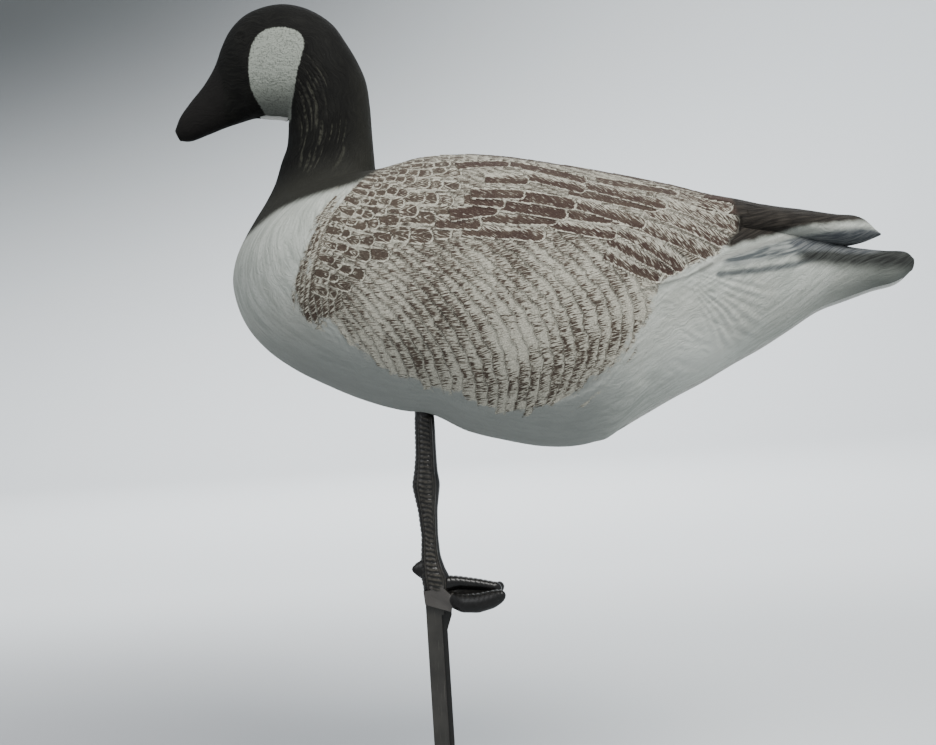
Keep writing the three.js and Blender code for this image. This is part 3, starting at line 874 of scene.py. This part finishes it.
class Look:
    """A node material, built by short calls. A number given as an input is set on the socket itself."""

    def __init__(self, name):
        self.material = bpy.data.materials.new(name)
        self.material.use_nodes = True
        self.nodes = self.material.node_tree.nodes
        self.links = self.material.node_tree.links
        self.shader = self.nodes["Principled BSDF"]
        self.place = self.nodes.new("ShaderNodeTexCoord").outputs["Object"]

    def feed(self, socket, value):
        if isinstance(value, bpy.types.NodeSocket):
            self.links.new(value, socket)
        elif isinstance(value, (tuple, list)) and len(value) == 3 and socket.type == "RGBA":
            socket.default_value = (*value, 1)
        else:
            socket.default_value = value

    def math(self, operation, a, b=0.0, c=0.0):
        node = self.nodes.new("ShaderNodeMath")
        node.operation = operation
        for socket, value in zip(node.inputs, (a, b, c)):
            self.feed(socket, value)
        return node.outputs[0]

    def add(self, a, b):
        return self.math("ADD", a, b)

    def times(self, a, b):
        return self.math("MULTIPLY", a, b)

    def most(self, a, b):
        return self.math("MAXIMUM", a, b)

    def inverse(self, a):
        return self.math("SUBTRACT", 1.0, a)

    def swing(self, a, amount):
        """A value that lies about 0.5, brought to lie about 0 and made `amount` wide."""
        return self.times(self.math("SUBTRACT", a, 0.5), amount)

    def field(self, name):
        node = self.nodes.new("ShaderNodeAttribute")
        node.attribute_name = name
        return node.outputs["Fac"]

    def vector(self, x, y, z=0.0):
        node = self.nodes.new("ShaderNodeCombineXYZ")
        for socket, value in zip(node.inputs, (x, y, z)):
            self.feed(socket, value)
        return node.outputs[0]

    def split(self, vector):
        node = self.nodes.new("ShaderNodeSeparateXYZ")
        self.feed(node.inputs[0], vector)
        return node.outputs

    def noise(self, scale, detail=3, roughness=0.6, at=None):
        node = self.nodes.new("ShaderNodeTexNoise")
        node.inputs["Scale"].default_value = scale
        node.inputs["Detail"].default_value = detail
        node.inputs["Roughness"].default_value = roughness
        self.feed(node.inputs["Vector"], self.place if at is None else at)
        return node.outputs["Fac"]

    def grain(self, scales):
        """Noise drawn out along the axes: scales are per metre along x, y and z."""
        stretched = [self.times(part, scale) for part, scale in zip(self.split(self.place), scales)]
        return self.noise(1.0, 3, 0.6, self.vector(*stretched))

    def step(self, value, low, high):
        node = self.nodes.new("ShaderNodeMapRange")
        node.interpolation_type = "SMOOTHSTEP"
        self.feed(node.inputs["Value"], value)
        self.feed(node.inputs["From Min"], low)
        self.feed(node.inputs["From Max"], high)
        return node.outputs[0]

    def mix(self, share, a, b):
        node = self.nodes.new("ShaderNodeMix")
        node.data_type = "RGBA"
        self.feed(node.inputs["Factor"], share)
        self.feed(node.inputs[6], a)
        self.feed(node.inputs[7], b)
        return node.outputs[2]

    def bump(self, height, distance_mm, before=None):
        node = self.nodes.new("ShaderNodeBump")
        node.inputs["Strength"].default_value = 1.0
        node.inputs["Distance"].default_value = distance_mm * MM
        self.feed(node.inputs["Height"], height)
        if before is not None:
            self.feed(node.inputs["Normal"], before)
        return node.outputs[0]

    def finish(self, colour, roughness, normal=None, metallic=None):
        self.feed(self.shader.inputs["Base Color"], colour)
        self.feed(self.shader.inputs["Roughness"], roughness)
        if normal is not None:
            self.feed(self.shader.inputs["Normal"], normal)
        if metallic is not None:
            self.feed(self.shader.inputs["Metallic"], metallic)
        return self.material


def srgb(r, g, b):
    """A paint colour from 0-255 screen values."""
    return tuple(((c / 255 + 0.055) / 1.055) ** 2.4 for c in (r, g, b))


def painted_foam(name):
    k = Look(name)
    wobble = k.noise(160, 4, 0.6)
    fine = k.noise(900)
    broad = k.noise(14, 3, 0.55)

    # the plain painted skin: greyish white, fine hair lines, with painted shade under the breast and belly
    # and painted light at the vent
    warp = k.times(k.noise(45, 2, 0.5), 14)
    hair_at = k.vector(k.add(k.times(k.field("across"), 0.55), warp), k.times(k.field("along"), 0.075), 3.0)
    hair = k.noise(1.0, 3, 0.6, hair_at)
    coat = k.add(k.times(hair, 0.6), k.times(k.field("coat"), 0.4))
    white = k.mix(k.step(coat, 0.3, 0.7), srgb(121, 125, 119), srgb(145, 148, 142))
    white = k.mix(k.times(k.step(broad, 0.45, 0.7), 0.35), white, srgb(132, 132, 124))
    white = k.mix(k.times(k.step(k.noise(520, 3, 0.65), 0.5, 0.7), 0.45), white, srgb(104, 107, 102))
    # painted shade: the breast and belly are darkened where they turn under
    white = k.mix(k.times(k.field("underside"), 0.85), white, srgb(101, 104, 101))
    # painted light: the vent is lightened as a pool of light
    white = k.mix(k.times(k.field("painted_vent_light"), 0.75), white, srgb(168, 171, 165))
    white = k.mix(k.times(k.field("tail"), k.add(0.62, k.times(coat, 0.5))), white, srgb(72, 75, 71))

    # feathers: brown ground, pale rims and brushed barbs
    streak_at = k.vector(k.field("streak_across"), k.times(k.field("streak_along"), 0.13))
    streak = k.noise(1.0, 1, 0.5, streak_at)
    ground = k.mix(k.field("tone"), srgb(52, 46, 40), srgb(42, 30, 27))
    ground = k.mix(k.times(k.step(k.noise(70), 0.4, 0.7), 0.6), ground, srgb(60, 52, 45))
    ground = k.mix(k.times(k.step(fine, 0.5, 0.7), 0.5), ground, srgb(78, 70, 61))
    cream = k.mix(k.step(fine, 0.35, 0.65), srgb(126, 125, 114), srgb(160, 158, 146))
    rim = k.add(k.field("feather_edge"), k.swing(streak, -2.6))
    rim = k.add(rim, k.swing(wobble, 1.7))
    rim = k.add(rim, k.swing(k.noise(420, 2, 0.6), 0.9))
    rim = k.inverse(k.step(rim, 0.65, 1.35))
    caught = k.add(streak, k.swing(k.noise(260, 2, 0.6), 0.3))
    caught = k.add(caught, k.swing(k.field("brush"), 0.5))
    caught = k.step(caught, 0.42, 0.6)
    pale = k.most(k.times(rim, 0.92), k.times(caught, 0.8))
    feathers = k.mix(pale, ground, cream)

    # the brown area breaks up into dabs towards its border
    breakup = k.swing(k.noise(170, 3, 0.65), 18)
    shown = k.step(k.add(k.field("brown"), breakup), -2, 3)
    solid = k.step(k.field("brown"), 5, 13)
    colour = k.mix(k.most(k.times(shown, k.step(k.field("brown"), -12, -4)), solid), white, feathers)

    # rump, wing tip and tail
    soft = k.swing(k.noise(60), 5)
    lines_at = k.vector(k.times(k.field("across"), 0.5), k.times(k.field("along"), 0.05))
    lines = k.noise(1.0, 2, 0.5, lines_at)
    slate = k.mix(k.step(lines, 0.4, 0.6), srgb(46, 50, 52), srgb(66, 70, 71))
    barred = k.noise(1.0, 2, 0.5, k.vector(
        k.add(k.times(k.field("along"), 0.09), k.times(k.field("across"), 0.22)),
        k.add(k.times(k.field("along"), -0.03), k.times(k.field("across"), 0.012)),
    ))
    grey = k.mix(k.step(barred, 0.38, 0.62), srgb(62, 66, 67), srgb(112, 115, 112))
    colour = k.mix(k.step(k.add(k.field("covert_grey"), soft), -3, 3), colour, grey)
    slate_width = k.add(k.field("slate"), k.times(soft, 0.7))
    colour = k.mix(k.times(k.inverse(k.step(slate_width, 0.5, 5.0)), 0.85), colour, slate)
    tail_dark = k.mix(k.step(lines, 0.35, 0.65), srgb(24, 25, 24), srgb(44, 46, 44))
    colour = k.mix(k.step(k.add(k.field("tail_band"), soft), -7, 6), colour, tail_dark)
    under_wing = k.mix(k.step(lines, 0.35, 0.65), srgb(54, 57, 60), srgb(82, 84, 84))
    colour = k.mix(k.step(k.add(k.field("wing_underside"), soft), -3, 3), colour, under_wing)
    wing_dark = k.mix(k.step(lines, 0.35, 0.7), srgb(20, 18, 16), srgb(40, 37, 33))
    colour = k.mix(k.step(k.add(k.field("primaries"), k.times(soft, 1.3)), -3, 4), colour, wing_dark)
    stripe = k.inverse(k.step(k.add(k.field("pale_stripe"), k.times(soft, 0.4)), 0.3, 4.0))
    colour = k.mix(k.times(stripe, 0.65), colour, srgb(108, 109, 104))

    # black head and neck with a soft hairy border, white cheek with dark specks and painted shade on its
    # lower part under the chin
    border = k.add(k.field("black"), k.swing(hair, 9))
    black_paint = k.mix(k.step(hair, 0.35, 0.75), srgb(7, 7, 6), srgb(17, 17, 15))
    black_paint = k.mix(k.step(k.field("bill"), -1.5, 1.5), black_paint, srgb(15, 14, 13))
    low_neck = k.step(k.field("black"), 46, 10)
    faded = k.mix(fine, srgb(18, 18, 16), srgb(44, 44, 39))
    black_paint = k.mix(k.times(low_neck, 0.8), black_paint, faded)
    on_furrow = k.times(k.step(k.field("furrow"), 0.2, 0.9), k.step(k.noise(240), 0.35, 0.65))
    black_paint = k.mix(k.times(on_furrow, 0.8), black_paint, srgb(46, 46, 40))
    colour = k.mix(k.step(border, -4.5, 3.5), colour, black_paint)
    specks = k.times(k.step(k.add(k.noise(640, 2, 0.6), k.times(hair, 0.25)), 0.6, 0.76), 0.6)
    cheek_white = k.mix(specks, srgb(112, 116, 109), srgb(60, 62, 58))
    # painted shade: the cheek below about z 0.48-0.51 m, under the chin, is darkened
    cheek_above_shade = k.step(k.split(k.place)[2], 0.480, 0.512)
    cheek_white = k.mix(k.times(k.inverse(cheek_above_shade), 0.62), cheek_white, srgb(58, 60, 56))
    cheek_edge = k.add(k.field("cheek"), k.swing(k.noise(500, 2, 0.6), 2.4))
    colour = k.mix(k.step(cheek_edge, -0.8, 0.8), colour, cheek_white)

    # the cut edge and the hollow are bare foam; the creases are painted darker as shade
    # painted shade along the wing crease
    crease_shade = k.times(k.inverse(k.step(k.field("groove"), 0.4, 1.6)), 0.5)
    colour = k.mix(crease_shade, colour, srgb(60, 62, 58))
    foam = k.mix(k.step(fine, 0.3, 0.7), srgb(170, 171, 167), srgb(186, 187, 183))
    colour = k.mix(k.step(k.field("bare"), 0.3, 0.7), colour, foam)

    # surface: skin grain everywhere, barbs on the feathers, hair on the rest
    is_feather = k.step(k.field("brown"), -6, 4)
    barbs = k.times(k.times(streak, is_feather), 0.8)
    hairs = k.times(hair, k.inverse(is_feather))
    grain = k.times(fine, 0.22)
    height = k.add(k.add(barbs, hairs), k.add(grain, k.times(wobble, 0.3)))
    rough = k.add(0.62, k.times(k.noise(35), 0.22))
    k.shader.inputs["Specular IOR Level"].default_value = 0.07
    return k.finish(colour, rough, k.bump(height, 0.9))


def plain_plastic(name, dark, light, rough, grain_scale, grain_mm, spec=0.5):
    k = Look(name)
    patches = k.noise(40, 4, 0.6)
    scuffs = k.step(k.grain((900, 900, 70)), 0.6, 0.72)
    colour = k.mix(k.step(patches, 0.3, 0.7), dark, light)
    colour = k.mix(k.times(scuffs, 0.35), colour, tuple(min(1, c * 1.9 + 0.02) for c in light))
    roughness = k.add(k.add(rough, k.times(patches, 0.15)), k.times(scuffs, 0.12))
    k.shader.inputs["Specular IOR Level"].default_value = spec
    grain = k.add(k.noise(grain_scale, 3, 0.6), k.times(scuffs, -0.3))
    return k.finish(colour, roughness, k.bump(grain, grain_mm))


def leg_plastic(name):
    """Semi-gloss black with a painted highlight on the scute crests; the plain socket under the foot is
    browner.
    """
    k = Look(name)
    x, y, z = k.split(k.place)
    patches = k.noise(60, 4, 0.6)
    black = k.mix(k.step(patches, 0.3, 0.7), srgb(6, 6, 5), srgb(13, 12, 11))
    # painted highlight: the scute crests are lightened
    crest_highlight = k.times(k.field("crest"), k.step(k.noise(300), 0.25, 0.6))
    colour = k.mix(k.times(crest_highlight, 0.9), black, srgb(58, 55, 49))
    aside = k.math("ABSOLUTE", y)
    socket = k.times(k.step(z, 0.0235, 0.0215), k.step(aside, 0.0085, 0.0092))
    socket = k.times(k.times(socket, k.step(aside, 0.0102, 0.0096)), k.step(x, 0.018, 0.016))
    colour = k.mix(socket, colour, k.mix(patches, srgb(46, 44, 42), srgb(58, 56, 54)))
    grain = k.add(k.noise(420), k.times(k.noise(120, 2, 0.5), 0.6))
    k.shader.inputs["Specular IOR Level"].default_value = 0.22
    return k.finish(colour, k.add(0.24, k.times(patches, 0.16)), k.bump(grain, 0.16))


def spike_plastic(name):
    """Satin brownish black; the rear plate is painted darker as shade and long scratches mark the front
    one.
    """
    k = Look(name)
    patches = k.noise(40, 4, 0.6)
    scratch = k.grain((1500, 500, 45))
    front = k.mix(k.step(patches, 0.3, 0.7), srgb(29, 28, 26), srgb(38, 37, 34))
    front = k.mix(k.times(k.step(scratch, 0.6, 0.75), 0.5), front, srgb(72, 72, 66))
    # painted shade: the rear plate, from about y -1 mm back, is darkened
    colour = k.mix(k.step(k.split(k.place)[1], -0.0013, -0.0009), front, srgb(8, 8, 7))
    k.shader.inputs["Specular IOR Level"].default_value = 0.25
    return k.finish(colour, k.add(0.4, k.times(patches, 0.15)), k.bump(k.noise(260), 0.1))


def plated_steel(name, tint, rough):
    k = Look(name)
    brushed = k.grain((60, 60, 2500))
    tarnish = k.step(k.noise(120, 4, 0.6), 0.5, 0.7)
    colour = k.mix(k.times(tarnish, 0.4), tint, tuple(c * 0.72 for c in tint))
    roughness = k.add(rough, k.add(k.times(brushed, 0.14), k.times(tarnish, 0.12)))
    return k.finish(colour, roughness, k.bump(brushed, 0.05), 1.0)


def bare_foam(name):
    k = Look(name)
    cells = k.nodes.new("ShaderNodeTexVoronoi")
    cells.inputs["Scale"].default_value = 700
    k.links.new(k.place, cells.inputs["Vector"])
    colour = k.mix(k.step(k.noise(30), 0.35, 0.7), srgb(196, 195, 188), srgb(216, 215, 209))
    rough = k.add(0.8, k.times(k.noise(90, 2, 0.5), 0.15))
    return k.finish(colour, rough, k.bump(cells.outputs["Distance"], 0.25))


looks = {
    "painted_foam_left": painted_foam("painted_foam_left"),
    "painted_foam_right": painted_foam("painted_foam_right"),
    "bare_foam": bare_foam("bare_foam"),
    "bush_plastic": plain_plastic("bush_plastic", srgb(208, 206, 198), srgb(222, 220, 213), 0.4, 300, 0.04),
    "leg_plastic": leg_plastic("leg_plastic"),
    "spike_plastic": spike_plastic("spike_plastic"),
    "post_steel": plated_steel("post_steel", srgb(196, 199, 202), 0.28),
    "clip_steel": plated_steel("clip_steel", srgb(150, 152, 155), 0.3),
}


def wear(obj, look):
    obj.data.materials.clear()
    obj.data.materials.append(looks[look])


for shell, node, look in ((left_shell, "left_shell", "painted_foam_left"),
                          (right_shell, "right_shell", "painted_foam_right")):
    wear(shell, look)
    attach(shell, "goose")
    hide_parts(node)

wear(leg, "leg_plastic")
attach(leg, "stake")
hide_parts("leg")

slots = {part["node"]: part["material_slot"] for part in frame["record"]["subparts"]}
for node, obj in frame["nodes"].items():
    wear(obj, slots[node])


# ---- stage ----


def stage_material():
    k = Look("paper")
    x, y, z = k.split(k.place)
    # painted shade: the floor is darker towards -x; it is also darker in front of y 0.35 m than behind it
    near = k.mix(k.step(x, -0.6, 0.4), srgb(144, 146, 149), srgb(182, 186, 188))
    floor = k.mix(k.step(y, 0.35, 1.6), near, srgb(220, 224, 226))
    colour = k.mix(k.step(y, 1.6, 4.5), floor, srgb(230, 234, 236))
    aside = k.math("POWER", k.times(k.add(x, 3.6), 0.6), 2.0)
    above = k.math("POWER", k.times(k.add(z, -3.6), 1.3), 2.0)
    corner = k.math("SQRT", k.add(aside, above))
    # painted shadow darkening the wall's upper left corner
    dark = k.times(k.inverse(k.step(corner, 0.9, 5.2)), k.step(y, 4.0, 6.5))
    colour = k.mix(dark, colour, srgb(66, 69, 70))
    colour = k.mix(k.times(k.noise(0.6, 2, 0.5), 0.05), colour, srgb(190, 195, 198))
    return k.finish(colour, 0.9)


FLOOR = -0.2181  # just under the spike's point
FLOOR_REACH = 40
CURVE_START = 5.0  # where the floor begins to curve up into the wall
CURVE_R = 2.5
WALL_TOP = 9.0
profile = [(-FLOOR_REACH, 0), (CURVE_START, 0)]
for step in range(1, 13):
    turn = step / 12 * math.pi / 2
    profile.append((CURVE_START + CURVE_R * math.sin(turn), CURVE_R - CURVE_R * math.cos(turn)))
profile.append((CURVE_START + CURVE_R, WALL_TOP))
sweep = [(x, y, z + FLOOR) for x in (-FLOOR_REACH, FLOOR_REACH) for y, z in profile]
count = len(profile)
floor_faces = [(i, i + 1, i + 1 + count, i + count) for i in range(count - 1)]
floor_mesh = bpy.data.meshes.new("floor")
floor_mesh.from_pydata(sweep, [], floor_faces)
floor = bpy.data.objects.new("floor", floor_mesh)
bpy.context.scene.collection.objects.link(floor)
floor.data.materials.append(stage_material())
smooth(floor, 180)


def area_light(name, place, target, size, watts, colour=(1, 1, 1)):
    light = bpy.data.lights.new(name, "AREA")
    light.shape = "DISK"
    light.size = size
    light.energy = watts
    light.color = colour
    obj = bpy.data.objects.new(name, light)
    obj.location = place
    obj.rotation_euler = (Vector(target) - Vector(place)).to_track_quat("-Z", "Y").to_euler()
    bpy.context.scene.collection.objects.link(obj)


area_light("key", (0.9, -1.5, 2.3), (0.08, 0, 0.3), 1.5, 150, (1.0, 0.985, 0.96))
area_light("fill", (-2.0, -1.9, 1.3), (0, 0, 0.3), 1.8, 30, (0.96, 0.98, 1.0))
area_light("back", (0.6, 2.4, 2.2), (0.1, 0, 0.3), 2.0, 26)
area_light("wall", (0.0, 2.6, 3.4), (0, 7.5, 1.0), 2.5, 260)

world = bpy.data.worlds.new("studio")
world.use_nodes = True
world.node_tree.nodes["Background"].inputs["Color"].default_value = (0.93, 0.96, 1.0, 1)
world.node_tree.nodes["Background"].inputs["Strength"].default_value = 1.15
bpy.context.scene.world = world

camera_data = bpy.data.cameras.new("camera")
camera_data.sensor_width = 36
camera_data.lens = 48.8
camera = bpy.data.objects.new("camera", camera_data)
bpy.context.scene.collection.objects.link(camera)
CAMERA_DISTANCE = 1.2
AIM = Vector((0.0438, 0, 0.2205))
ROLL = math.radians(3.6)
camera.location = AIM + Vector((0, -CAMERA_DISTANCE, 0))
camera.rotation_euler = (math.pi / 2, ROLL, 0)
bpy.context.scene.camera = camera
